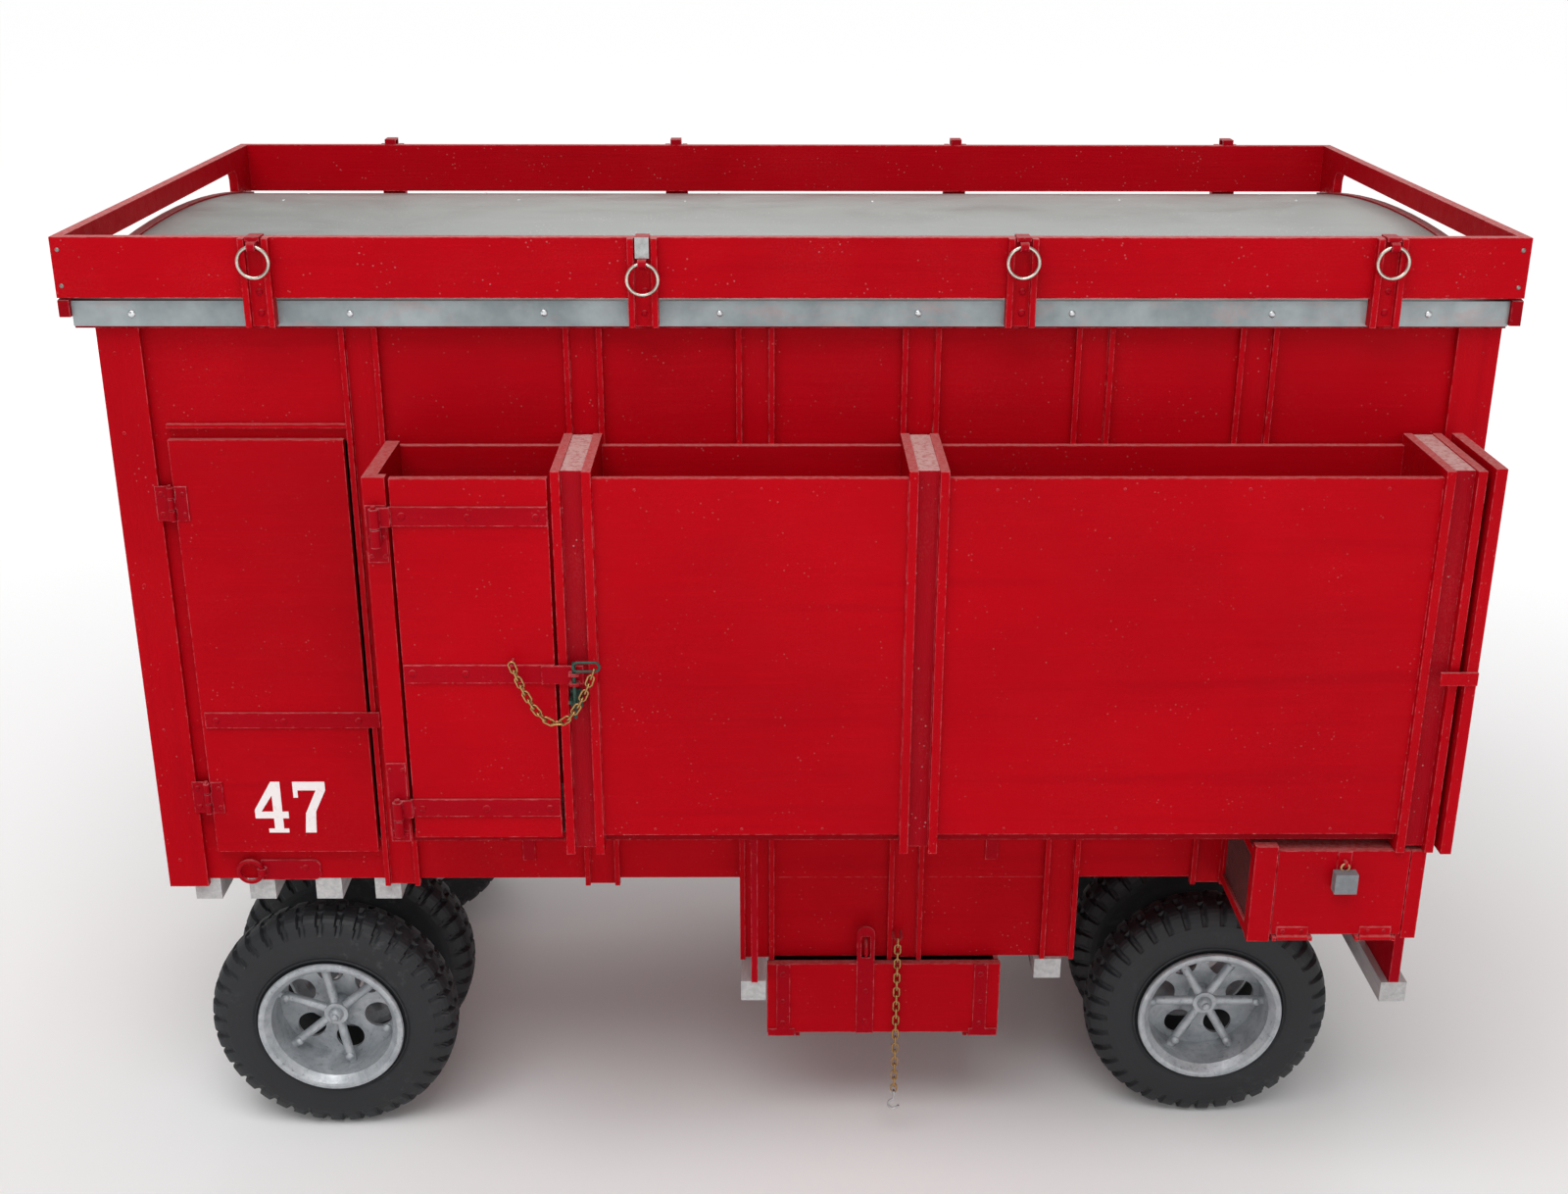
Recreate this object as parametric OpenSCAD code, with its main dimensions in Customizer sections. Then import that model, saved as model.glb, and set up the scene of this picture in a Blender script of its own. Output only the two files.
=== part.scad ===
// Scale model of a livestock trailer: a boarded wagon body with a side rack, a drop belly,
// a tool box and dual wheels. Millimetres, +Z up, front wall towards -X, rack side towards -Y.

/* [Body] */
// Length of the body over the corner posts
body_l = 508; // [506:1:520]
// Width of the body over the corner posts
body_w = 240; // [220:2:260]
// Height of the body's walls
body_h = 228; // [220:1:240]
// Height of the body's underside above the ground
body_z = 122; // [122:1:130]
// Height of the belly box's underside above the ground
belly_z = 85; // [80:1:90]
// Thickness of wall and floor boards
board = 3; // [2.5:0.5:3]
// Face width of a corner post
post_w = 15.5; // [12:0.5:16]
// Face width of a wall stud
stud_w = 14; // [12:0.5:14]

/* [Roof] */
// Height that the roof's crown stands above its edges
roof_rise = 10; // [6:1:14]
// Overhang of the roof at the front wall
over_front = 10; // [8:1:12]
// Overhang of the roof at the rear wall
over_rear = 4; // [4:1:8]
// Overhang of the roof boards at the sides
over_side = 6; // [6:1:6]
// Height of the boards around the roof tray
tray_h = 21.6; // [18:0.6:24]

/* [Rack] */
// Depth of the side rack from the corner posts' face
rack_d = 48; // [44:1:52]
// Height of the rack's panels
rack_h = 139; // [130:1:139]

/* [Running gear] */
// Radius of the tyres
tyre_r = 51.5; // [48:0.5:51.5]
// Width of a tyre
tyre_w = 23; // [18:1:24]
// Distance between the two wheels of a dual pair
dual_gap = 46; // [40:1:48]
// Radius of the rims' flanges
rim_r = 30.5; // [28:0.5:32]
// Radius of the axles
axle_r = 3; // [2.5:0.5:3.5]
// Number of spokes in an outer wheel
spokes = 6; // [5:1:8]

/* [Hidden] */

$fn = 48;
e = 0.01;                 // overlap that makes a cut clean
fit = 0.08;               // running clearance on the radius of a pin
gap = 0.3;                // clearance between pieces that move past each other

red = [0.67, 0.02, 0.08];
red_dark = [0.55, 0.02, 0.07];
tin = [0.66, 0.69, 0.68];
grey_paint = [0.82, 0.82, 0.82];
steel = [0.62, 0.60, 0.57];

// walls
skin_y = 3;               // the skins stand this far behind the corner posts' face
skin_in = skin_y + board;
body_top = body_z + body_h;
stud_x = [94, 175, 237.5, 298, 361, 420.5];
belly_studs = [2, 3, 4];  // the studs that run on down over the belly box
belly_x0 = stud_x[2] - stud_w / 2;
belly_x1 = stud_x[4] + stud_w / 2;

// roof
rail_h = 9.5;
edge_z = body_top + rail_h + 0.5;
eave_y = 4;               // the sheet's folded edge stands this far out from the posts' face
half_span = body_w / 2 + eave_y;
roof_r = (half_span * half_span + roof_rise * roof_rise) / (2 * roof_rise);
roof_cz = edge_z + roof_rise - roof_r;
sheet_t = 0.6;
roof_board = 4;
roof_x0 = -over_front;
roof_x1 = body_l + over_rear;
end_boards = [[roof_x0, body_top + 4.5], [roof_x1 - roof_board, body_top + 1.5]];
tray_z0 = body_top + 11.4;
tray_z1 = tray_z0 + tray_h;

// brackets and rings on the roof tray
bracket_x = [62, 198, 332, 462];
bracket_w = 10.5;
ring_z = [tray_z1 - 8, tray_z1 - 14, tray_z1 - 8, tray_z1 - 8];
ring_r = 5.5;
ring_wire = 0.65;
loop_r = 1.7;
loop_bore = 1.05;
loop_l = 3;
tab_w = 5;
tab_t = loop_r - loop_bore;
far_lift = 2;             // the far tabs arch over the tray's edge
tab_y = over_side + 3.2;  // the tabs lie on the brackets' flanges
ring_y = -(tab_y + loop_r);

// side door
door_x = [21, 85.5];
door_z = [body_top - 214, body_top - 42.5];
door_axis = [20, -1.55];
door_hinge_z = [body_top - 189.5, body_top - 67];
leaf_h = 13.5;
leaf_w = 6;
leaf_t = 0.6;
knuckle_r = 1.2;
hinge_pin_r = 0.6;

// rack
rack_z0 = 168;
rack_z1 = rack_z0 + rack_h;
rack_x0 = 102;
panel_y = 46;
panel_t = 2.5;
post_x = [167, 291, 477];
rack_post_w = 14;
plate_t = 3.2;
rack_post_z = [rack_z0 - 7, rack_z1 + 3];
rack_bays = [[rack_x0, post_x[0]], [post_x[0] + rack_post_w, post_x[1]],
    [post_x[1] + rack_post_w, post_x[2]]];
pintle_axis = [106, -rack_d - 2.9];
pintle_r = 0.9;
eye_r = 1.8;
rack_strap_z = [180.8, 234.5, 294];
pintle_plate_z = [[167, 199], [277, 298]];
strap_h = 7;
strap_t = 0.8;

// latch on the rack door
latch_x = 172.8;
latch_y = -rack_d - 2.9;
latch_r = 0.7;
latch_top = 240;
latch_bottom = 218.3;

// middle of the whole object, so that its box stands centred on the origin
mid_x = (roof_x0 + roof_x1) / 2;
mid_y = (body_w + tab_y + 2 * loop_r + pintle_axis[1] - eye_r) / 2;

// wing gate at the rack's rear end
gate_axis = [495, -3];
gate_t = 4;

// tool box
box_x = [425, 489.5];
box_y = 46;
box_z = [123, 160.4];
box_post = 8.5;
box_axis = [-box_y - 0.9, 123.7];
box_leaf_x = [436.1, 467.8];
box_leaf_w = 12;
lock_axis = [458.8, -box_y - 2.1, 156.3];

// ramp case and its hatch
hatch_x = [241.5, 337.6];
hatch_z = [51.7, belly_z - gap];
hatch_axis = [-1.5, 50.4];
hatch_strap_x = [248.2, 329.7];
hatch_roll_x = [[241.8, 252.9], [325.5, 337.3]];
hasp_x = 282;

// chain links
link_wire = 0.36;
link_end = 1.15;          // centreline radius of a link's round ends
link_len = 2.1;           // distance between the centres of its ends
link_pitch = 3.4;
drop_pivot = [294.9, -5, 97.3];
upper_links = 16;
lower_links = 6;

// running gear
axle_z = tyre_r;
axle_x = [58.6, 429.2];
rim_y = [1, 7.5];         // the outer flanges stand this far inside the posts' face
spoke_turn = [-10, 30];
gear_y = [77, body_w - 77];
turn_r = 36;
beam_x = [9, 31, 58, 82];
spoke_y = 12;
beam_w = 10.5;
beam_h = 9.5;
turn_z = body_z - beam_h - 6;

// ---------- helpers ----------
module place() translate([-mid_x, -mid_y, 0]) children();
module slab(lo, hi) translate(lo) cube(hi - lo);
module far_side() translate([0, body_w, 0]) mirror([0, 1, 0]) children();
module both_sides() {
    children();
    far_side() children();
}
module rod_x(x0, x1, y, z, r) translate([x0, y, z]) rotate([0, 90, 0]) cylinder(h = x1 - x0, r = r);
module rod_y(x, y0, y1, z, r) translate([x, y1, z]) rotate([90, 0, 0]) cylinder(h = y1 - y0, r = r);
module rod_z(x, y, z0, z1, r) translate([x, y, z0]) cylinder(h = z1 - z0, r = r);
module torus(big, small, turn = 360) rotate_extrude(angle = turn) translate([big, 0]) circle(small, $fn = 24);

// channel-shaped stud: a thin web with two flanges, its face on y = 0
module stud(z0, z1) {
    flange = 2;
    web = 1;
    slab([-stud_w / 2, skin_y - web, z0], [stud_w / 2, skin_y, z1]);
    slab([-stud_w / 2, 0, z0], [flange - stud_w / 2, skin_y, z1]);
    slab([stud_w / 2 - flange, 0, z0], [stud_w / 2, skin_y, z1]);
}

// the solid under the roof's curve, between two lengthwise positions
module under_roof(x0, x1, y0, y1, z0, lift) intersection() {
    slab([x0, y0, z0], [x1, y1, edge_z + roof_rise + 5]);
    translate([x0 - 1, body_w / 2, roof_cz]) rotate([0, 90, 0]) cylinder(h = x1 - x0 + 2, r = roof_r + lift, $fn = 180);
}

// ---------- body ----------
module floor_deck() color(red_dark) {
    slab([skin_in, skin_in, body_z], [belly_x0, body_w - skin_in, body_z + board]);
    slab([belly_x1, skin_in, body_z], [body_l - skin_in, body_w - skin_in, body_z + board]);
}

module belly_box() color(red) difference() {
    slab([belly_x0, skin_y, belly_z], [belly_x1, body_w - skin_y, body_z]);
    slab([belly_x0 + board, skin_in, belly_z + board], [belly_x1 - board, body_w - skin_in, body_z + e]);
}

module near_wall() color(red) {
    difference() {
        slab([skin_y, skin_y, body_z], [body_l - skin_y, skin_in, body_top]);
        slab([post_w + 4.7, 0, door_z[0] + 4], [stud_x[0] - stud_w / 2 - 0.4, skin_in + e, door_z[1] - 1]);
    }
    // thin ledge over the door
    slab([post_w + 5, 1.2, door_z[1] + 4], [stud_x[0] - stud_w / 2 - 0.2, skin_y + e, door_z[1] + 5.5]);
}

module far_wall() color(red)
    slab([skin_y, body_w - skin_in, body_z], [body_l - skin_y, body_w - skin_y, body_top]);

module end_walls() color(red) for (x = [skin_y, body_l - skin_in])
    slab([x, skin_in, body_z], [x + board, body_w - skin_in, body_top]);

module corner_posts() color(red) for (end = [0, 1]) both_sides()
    translate([end * body_l, 0, body_z - 2]) mirror([end, 0, 0]) {
        slab([0, 0, 0], [post_w, skin_y, body_h + 2]);
        slab([0, 0, 0], [skin_y, post_w, body_h + 2]);
    }

module wall_studs() color(red) {
    both_sides() for (i = [0:len(stud_x) - 1])
        translate([stud_x[i], 0, 0]) stud(len(search(i, belly_studs)) > 0 ? belly_z : body_z - 2, body_top);
    for (end = [0, 1]) for (k = [1, 2])
        translate([end * body_l, k * body_w / 3, 0]) mirror([end, 0, 0])
            rotate([0, 0, -90]) stud(body_z - 2, body_top);
}

// ---------- roof ----------
module roof_frame() color(red_dark) {
    both_sides() slab([roof_x0 + roof_board, -skin_y, body_top], [body_l, skin_in, body_top + rail_h]);
    for (b = end_boards) under_roof(b[0], b[0] + roof_board, -over_side, body_w + over_side, b[1], 0.8);
    for (x = bracket_x) difference() {
        under_roof(x - 3, x + 3, skin_in, body_w - skin_in, body_top - 1, -sheet_t);
        translate([x - 4, body_w / 2, roof_cz]) rotate([0, 90, 0]) cylinder(h = 8, r = roof_r - 12, $fn = 180);
    }
}

module roof_sheet() color(tin) {
    difference() {
        under_roof(roof_x0 + roof_board, roof_x1 - roof_board, -eave_y, body_w + eave_y, body_top, 0);
        translate([roof_x0, body_w / 2, roof_cz]) rotate([0, 90, 0])
            cylinder(h = roof_x1 - roof_x0, r = roof_r - sheet_t, $fn = 180);
    }
    both_sides() slab([roof_x0 + roof_board, -eave_y, body_top + 0.9], [roof_x1 - roof_board, -skin_y, edge_z]);
}

module tray_sides() color(red) both_sides()
    slab([roof_x0, -over_side, tray_z0], [roof_x1, roof_board - over_side, tray_z1]);

// end board of the roof tray: a rail on two legs, cut out below with rounded corners
module tray_end() difference() {
    leg = 20;
    round_r = 6;
    rail_z = tray_z1 - 8.5;
    in_y = roof_board - over_side;
    slab([0, in_y, tray_z0], [roof_board, body_w - in_y, tray_z1]);
    translate([-e, 0, 0]) {
        slab([0, leg, tray_z0 - e], [roof_board + 1, body_w - leg, rail_z - round_r]);
        slab([0, leg + round_r, tray_z0 - e], [roof_board + 1, body_w - leg - round_r, rail_z]);
        for (y = [leg + round_r, body_w - leg - round_r]) rod_x(0, roof_board + 1, y, rail_z - round_r, round_r);
    }
}

module tray_ends() color(red) for (x = [roof_x0, roof_x1 - roof_board]) difference() {
    translate([x, 0, 0]) tray_end();
    under_roof(x - 1, x + roof_board + 1, -over_side, body_w + over_side, body_top, 0.8 + e);
}

module tray_bracket() {
    flange = 2.2;
    foot = body_top + 1.5;
    slab([-bracket_w / 2, -over_side - 1, foot], [bracket_w / 2, -over_side, tray_z1]);
    slab([-bracket_w / 2, -over_side - 1, foot], [bracket_w / 2, -eave_y, tray_z0 - 0.2]);
    for (s = [-1, 1]) translate([s * (bracket_w - flange) / 2, 0, 0])
        slab([-flange / 2, -tab_y, foot], [flange / 2, -over_side, tray_z1]);
}

module tray_brackets() color(red) both_sides() for (x = bracket_x) translate([x, 0, 0]) tray_bracket();

// strap over the tray's edge that ends in a loop for the ring
module ring_tab(z, lift = 0) difference() {
    top = tray_z1 + lift;
    in_y = roof_board - over_side;
    union() {
        slab([-tab_w / 2, -tab_y - tab_t, top], [tab_w / 2, in_y, top + tab_t]);
        slab([-tab_w / 2, -tab_y - tab_t, z + ring_r + loop_r], [tab_w / 2, -tab_y, top + tab_t]);
        if (lift > 0) slab([-tab_w / 2, in_y - tab_t, tray_z1], [tab_w / 2, in_y, top + tab_t]);
        slab([-loop_l / 2, -tab_y - tab_t, z + ring_r], [loop_l / 2, -tab_y, tray_z1]);
        rod_x(-loop_l / 2, loop_l / 2, ring_y, z + ring_r, loop_r);
    }
    rod_x(-loop_l, loop_l, ring_y, z + ring_r, loop_bore);
}

module ring_tabs() color(red) {
    for (i = [0:len(bracket_x) - 1]) translate([bracket_x[i], 0, 0]) ring_tab(ring_z[i]);
    far_side() for (x = bracket_x) translate([x, 0, 0]) ring_tab(ring_z[0], far_lift);
}

module tie_ring(i) color(steel) translate([bracket_x[i], ring_y, ring_z[i]]) rotate([90, 0, 0]) torus(ring_r, ring_wire);
module far_tie_rings() far_side() for (i = [0:len(bracket_x) - 1])
    translate([0, 0, ring_z[0] - ring_z[i]]) tie_ring(i);

// ---------- underside ----------
module cross_beams() color(grey_paint) {
    for (x = beam_x) slab([x, skin_y, body_z - beam_h], [x + beam_w, body_w - skin_y, body_z]);
    slab([belly_x0 + 0.5, -16, belly_z - 9], [belly_x0 + beam_w, body_w, belly_z]);
    slab([belly_x1 - 16, 0, belly_z - 9], [belly_x1 - 5, body_w, belly_z]);
    slab([490, -18, belly_z - 9], [490 + beam_w, body_w, belly_z]);
}

// plate that hangs the rear drop beam from the body
module beam_hanger(reach) translate([493, 0, 0]) rotate([90, 0, 90]) linear_extrude(roof_board)
    polygon([[reach, belly_z], [14, belly_z], [14, body_z], [skin_y, body_z], [skin_y, body_z - 2],
        [min(reach + 10, 0), body_z - 2], [reach, body_z - 10]]);

module beam_hangers() color(red) {
    beam_hanger(-18);
    far_side() beam_hanger(0);
}

module rear_bolster() color(red_dark) difference() {
    union() {
        slab([axle_x[1] - 8, gear_y[0], axle_z - 8], [axle_x[1] + 8, gear_y[1], axle_z + 8]);
        for (y = [gear_y[0] + 7, gear_y[1] - 19])
            slab([axle_x[1] - 7, y, axle_z + 8 - e], [axle_x[1] + 7, y + 12, body_z]);
    }
    rod_y(axle_x[1], gear_y[0] - 1, gear_y[1] + 1, axle_z, axle_r);
}

module turntable_plate() color(red_dark) difference() {
    rod_z(axle_x[0], body_w / 2, turn_z, body_z - beam_h, turn_r);
    rod_z(axle_x[0], body_w / 2, turn_z - e, body_z - beam_h + e, 4 + fit);
}

// turning bolster: lower plate, king pin, pillar, axle beam and tow bar with its eye
module front_bolster() color(red_dark) difference() {
    mid = body_w / 2;
    eye_x = -2;
    union() {
        rod_z(axle_x[0], mid, turn_z - gap - 6, turn_z - gap, turn_r - 2);
        rod_z(axle_x[0], mid, turn_z - 7, turn_z + 5, 4);
        slab([axle_x[0] - 8, mid - 20, axle_z + 8 - e], [axle_x[0] + 8, mid + 20, turn_z - 6]);
        slab([axle_x[0] - 8, gear_y[0], axle_z - 8], [axle_x[0] + 8, gear_y[1], axle_z + 8]);
        slab([eye_x, mid - 5, axle_z + 10], [axle_x[0], mid + 5, axle_z + 18]);
        rod_z(eye_x, mid, axle_z + 10, axle_z + 18, 7);
    }
    rod_y(axle_x[0], gear_y[0] - 1, gear_y[1] + 1, axle_z, axle_r);
    rod_z(eye_x, mid, axle_z, axle_z + 30, 3);
}

module axle(i) color(steel)
    rod_y(axle_x[i], rim_y[i] + spoke_y + 0.4, body_w - rim_y[i] - spoke_y - 0.4, axle_z, axle_r);
module front_axle() axle(0);
module rear_axle() axle(1);

// ---------- wheels ----------
// tyre cross-section: points run from bead to tread and back
module tyre() rotate([-90, 0, 0]) rotate_extrude($fn = 120) polygon([
    [rim_r - 3.5, 3], [rim_r + 0.5, 1.5], [rim_r + 5, 0.2], [rim_r + 10, 0], [tyre_r - 5, 1.2],
    [tyre_r - 1.6, 4.2], [tyre_r - 0.3, tyre_w * 0.35], [tyre_r, tyre_w / 2],
    [tyre_r - 0.3, tyre_w * 0.65], [tyre_r - 1.6, tyre_w - 4.2], [tyre_r - 5, tyre_w - 1.2],
    [rim_r + 10, tyre_w], [rim_r + 5, tyre_w - 0.2], [rim_r + 0.5, tyre_w - 1.5], [rim_r - 3.5, tyre_w - 3]
]);

// rim cross-section: rolled flanges at both edges of a straight barrel
module rim_barrel() rotate([-90, 0, 0]) rotate_extrude($fn = 96) polygon([
    [rim_r - 2.6, -1], [rim_r - 1.6, -1.4], [rim_r - 0.4, -1.2], [rim_r, -0.4], [rim_r - 0.5, 1.3],
    [rim_r - 3.5, 3], [rim_r - 3.5, tyre_w - 3], [rim_r - 0.5, tyre_w - 1.3], [rim_r, tyre_w + 0.4],
    [rim_r - 2.6, tyre_w + 0.8], [rim_r - 5, tyre_w - 2], [rim_r - 5, 2]
]);

// the two rims of a dual pair: each has spokes, the outer one a pierced disc too, and a closed
// hub sleeve joins them
module dual_rims(i) translate([axle_x[i], rim_y[i] + 1, axle_z]) {
    hub_r = 5;
    spoke_r = 1.9;
    disc_y = tyre_w - 5;
    hole_ring = 17;
    hole_r = 6;
    for (k = [0, 1]) translate([0, k * dual_gap, 0]) rim_barrel();
    difference() {
        union() {
            rod_y(0, spoke_y - 2.5, dual_gap + tyre_w - 2, 0, hub_r);
            translate([0, spoke_y - 2.5, 0]) sphere(r = 3.2, $fn = 32);
            for (k = [0:spokes - 1]) rotate([0, spoke_turn[i] + k * 360 / spokes, 0])
                for (y = [spoke_y, dual_gap + tyre_w - spoke_y]) rod_z(0, y, 0, rim_r - 4.5, spoke_r);
            difference() {
                rod_y(0, disc_y, disc_y + 1.6, 0, rim_r - 4.5);
                for (k = [0:spokes - 1]) rotate([0, spoke_turn[i] + (k + 0.5) * 360 / spokes, 0])
                    rod_y(hole_ring, disc_y - 5, disc_y + 5, 0, hole_r);
            }
        }
        rod_y(0, spoke_y - 1, dual_gap + tyre_w, 0, axle_r + fit);
    }
}
module near_tyres(i) color([0.12, 0.13, 0.15]) for (k = [0, 1])
    translate([axle_x[i], rim_y[i] + 1 + k * dual_gap, axle_z]) tyre();
module near_rims(i) color([0.8, 0.81, 0.82]) dual_rims(i);
module far_tyres(i) far_side() near_tyres(i);
module far_rims(i) far_side() near_rims(i);

// ---------- rack ----------
module rack_back() color(red) for (b = rack_bays) slab([b[0], -board, rack_z0], [b[1], 0, rack_z1 - 1]);

module rack_floor() color(red) for (b = rack_bays)
    slab([b[0] == rack_x0 ? rack_x0 + 5 : b[0], panel_t - panel_y, rack_z0 - 3.5], [b[1], 0, rack_z0 - e]);

module rack_end() color(red) {
    slab([rack_x0, 4 - rack_d, rack_z0 - 3.5], [rack_x0 + 5, -board, rack_z1 + 1]);
    slab([rack_x0, -rack_d, rack_z0 - 1], [rack_x0 + 8, 4 - rack_d, rack_z1 + 1]);
}

module rack_panels() color(red) for (b = [rack_bays[1], rack_bays[2]])
    slab([b[0], -panel_y, rack_z0], [b[1], panel_t - panel_y, rack_z1]);

module rack_post_plates() color(red) for (x = post_x) for (s = [0, rack_post_w - plate_t])
    slab([x + s, -rack_d, rack_post_z[0]], [x + s + plate_t, 0, rack_post_z[1]]);

module rack_post_cores() color(red_dark) for (x = post_x)
    slab([x + plate_t, board - rack_d, rack_post_z[0] + 1.5], [x + rack_post_w - plate_t, 0, rack_post_z[1] - 0.5]);

module rack_supports() color(red_dark) {
    floor_z = rack_z0 - 3.5;
    for (x = [145.5, 332.5]) {
        slab([x - 2.5, -20, floor_z - 0.8], [x + 2.5, skin_y, floor_z]);
        slab([x - 2.5, skin_y - 0.8, floor_z - 34], [x + 2.5, skin_y, floor_z]);
    }
    slab([235.2, -17, belly_z], [237.8, -14, floor_z]);
}

module rack_door_panel() color(red)
    slab([rack_x0 + 9.3, -rack_d, rack_z0 + gap], [post_x[0] - 1.3, 3 - rack_d, rack_z1 + 0.5]);

// straps across the door: the outer two end in eyes on the pintles, the middle one carries the latch
module rack_door_straps() color(red) {
    face = -rack_d;
    x0 = pintle_axis[0];
    y0 = pintle_axis[1] + eye_r;
    half = strap_h / 2;
    for (z = [rack_strap_z[0], rack_strap_z[2]]) difference() {
        union() {
            slab([x0 + 4.4, face - strap_t, z - half], [post_x[0] - 1.5, face, z + half]);
            slab([x0, y0 - strap_t, z - half], [x0 + 5.2, y0, z + half]);
            slab([x0 + 4.4, y0 - strap_t, z - half], [x0 + 5.2, face, z + half]);
            rod_z(x0, pintle_axis[1], z - half, z + half, eye_r);
        }
        rod_z(x0, pintle_axis[1], z - strap_h, z + strap_h, pintle_r + fit);
    }
    z = rack_strap_z[1];
    slab([x0 + 5.6, face - strap_t, z - half], [post_x[0] - 1.5, face, z + half]);
    slab([post_x[0] - 6, face - 2 * strap_t, z - half], [176, face - strap_t, z + half]);
    for (lug = [z - 3.1, z + 0.7]) difference() {
        slab([latch_x - 1.8, latch_y - 1.8, lug], [latch_x + 1.8, face - strap_t, lug + 0.8]);
        rod_z(latch_x, latch_y, lug - 1, lug + 2, latch_r + fit);
    }
    // nail that holds the latch chain's end
    rod_y(chain_a[0], chain_y - 1, face, chain_a[1] - link_slack, 0.5);
}

// open-fronted fork on the post that takes the latch pin's tip
module latch_keeper() color([0.10, 0.22, 0.17]) {
    back = board - rack_d;
    top = latch_bottom + 7;
    slab([latch_x - 2.2, back - 0.8, top - 5], [latch_x + 2.2, back, top + 2]);
    for (s = [-1, 1]) translate([latch_x + s * 1.65, 0, 0])
        slab([-0.5, latch_y - 0.9, top - 1.2], [0.5, back - 0.8 + e, top]);
}

// pin with a long eye bent out of its top
module latch_pin() color([0.10, 0.22, 0.17]) {
    eye_w = 1.7;
    eye_l = 6;
    rod_z(latch_x, latch_y, latch_bottom, latch_top, latch_r);
    rod_y(latch_x, chain_y - 0.3, latch_y, eye_z, 0.55);
    translate([latch_x + eye_w, chain_y, eye_z]) {
        for (s = [-1, 1]) rod_x(0, eye_l, 0, s * eye_w, 0.5);
        rotate([90, 0, 0]) rotate([0, 0, 90]) torus(eye_w, 0.5, 180);
        translate([eye_l, 0, 0]) rotate([90, 0, 0]) rotate([0, 0, -90]) torus(eye_w, 0.5, 180);
    }
}

// one chain link, long axis along Z, flat in the XZ plane
module link() for (s = [-1, 1]) {
    rod_z(s * link_end, 0, -link_len / 2, link_len / 2, link_wire);
    translate([0, 0, s * link_len / 2]) rotate([90, 0, 0]) rotate([0, 0, s < 0 ? 180 : 0]) torus(link_end, link_wire, 180);
}

// the latch chain hangs in a parabola between a nail on the door and the pin's eye
link_slack = 0.65;        // from a chain's end point back to its end link's round centre
chain_y = latch_y - 2.7;   // the chain hangs clear of the pin
eye_z = latch_top - 0.6;
chain_a = [151, 240.7];
chain_b = [latch_x + 7.4, eye_z - 1.1];
chain_sag = 22;
chain_links = 18;
function chain_at(t) = [
    chain_a[0] + (chain_b[0] - chain_a[0]) * t,
    chain_a[1] + (chain_b[1] - chain_a[1]) * t - 4 * chain_sag * t * (1 - t)];
function chain_slope(t) = [chain_b[0] - chain_a[0], chain_b[1] - chain_a[1] - 4 * chain_sag * (1 - 2 * t)];
// arc length of the parabola to t, by the trapezium rule
function chain_len(t, n = 40) = t / n * (let (v = [for (i = [0:n]) norm(chain_slope(t * i / n)) * (i == 0 || i == n ? 0.5 : 1)])
    v * [for (i = v) 1]);
// the t at which the arc length is s, by halving
function chain_t(s, lo = 0, hi = 1, k = 18) = k == 0 ? (lo + hi) / 2 :
    chain_len((lo + hi) / 2) < s ? chain_t(s, (lo + hi) / 2, hi, k - 1) : chain_t(s, lo, (lo + hi) / 2, k - 1);

module latch_chain() color([0.60, 0.45, 0.20]) {
    step = chain_len(1) / chain_links;
    for (i = [0:chain_links - 1]) {
        t = chain_t((i + 0.5) * step);
        d = chain_slope(t);
        translate([chain_at(t)[0], chain_y, chain_at(t)[1]]) rotate([0, atan2(d[0], d[1]), 0])
            rotate([0, 0, 90 * (i % 2)]) link();
    }
}

// ---------- side door ----------
// fixed leaf with the two outer knuckles and the pin
module side_door_leaf() {
    third = leaf_h / 3;
    slab([-leaf_w, -leaf_t, -leaf_h / 2], [-knuckle_r, 0, leaf_h / 2]);
    for (s = [-1, 1]) translate([0, 0, s * third]) {
        slab([-knuckle_r - e, -leaf_t, -third / 2 + 0.2], [0, 0, third / 2 - 0.2]);
        rod_z(0, door_axis[1], -third / 2 + 0.2, third / 2 - 0.2, knuckle_r);
    }
    rod_z(0, door_axis[1], -leaf_h / 2, leaf_h / 2 + 0.8, hinge_pin_r);
}

// plate on the rack's end stile with a gudgeon and an upright pin
module pintle(i) {
    x = pintle_axis[0];
    y = pintle_axis[1];
    low = rack_strap_z[2 * i] - strap_h / 2;
    slab([x - 3.5, -rack_d - 0.6, pintle_plate_z[i][0]], [x + 3.5, -rack_d, pintle_plate_z[i][1]]);
    slab([x - 1.3, y, low - 7], [x + 1.3, -rack_d - 0.5, low - 0.4]);
    rod_z(x, y, low - 7, low - 0.4, eye_r);
    rod_z(x, y, low - 1, low + strap_h + 1.2, pintle_r);
}

module door_hinge_irons() color(red_dark) {
    for (z = door_hinge_z) translate([door_axis[0], 0, z]) side_door_leaf();
    for (i = [0, 1]) pintle(i);
}

module side_door_panel() color(red) slab([door_x[0], -gap, door_z[0]], [door_x[1], board - 2 * gap, door_z[1]]);

module side_door_irons() color(red) {
    face = -gap;
    third = leaf_h / 3;
    clear = knuckle_r + gap;
    for (z = door_hinge_z) translate([door_axis[0], 0, z]) {
        slab([clear, face - leaf_t, -leaf_h / 2], [leaf_w, face, leaf_h / 2]);
        slab([knuckle_r - 0.5, face - leaf_t, -third / 2 + 0.2], [clear + e, face, third / 2 - 0.2]);
        difference() {
            rod_z(0, door_axis[1], -third / 2 + 0.2, third / 2 - 0.2, knuckle_r);
            rod_z(0, door_axis[1], -leaf_h, leaf_h, hinge_pin_r + fit);
        }
    }
    slab([door_x[0] + 1.5, face - strap_t, body_top - 159], [90.5, face, body_top - 152.5]);
}

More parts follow.
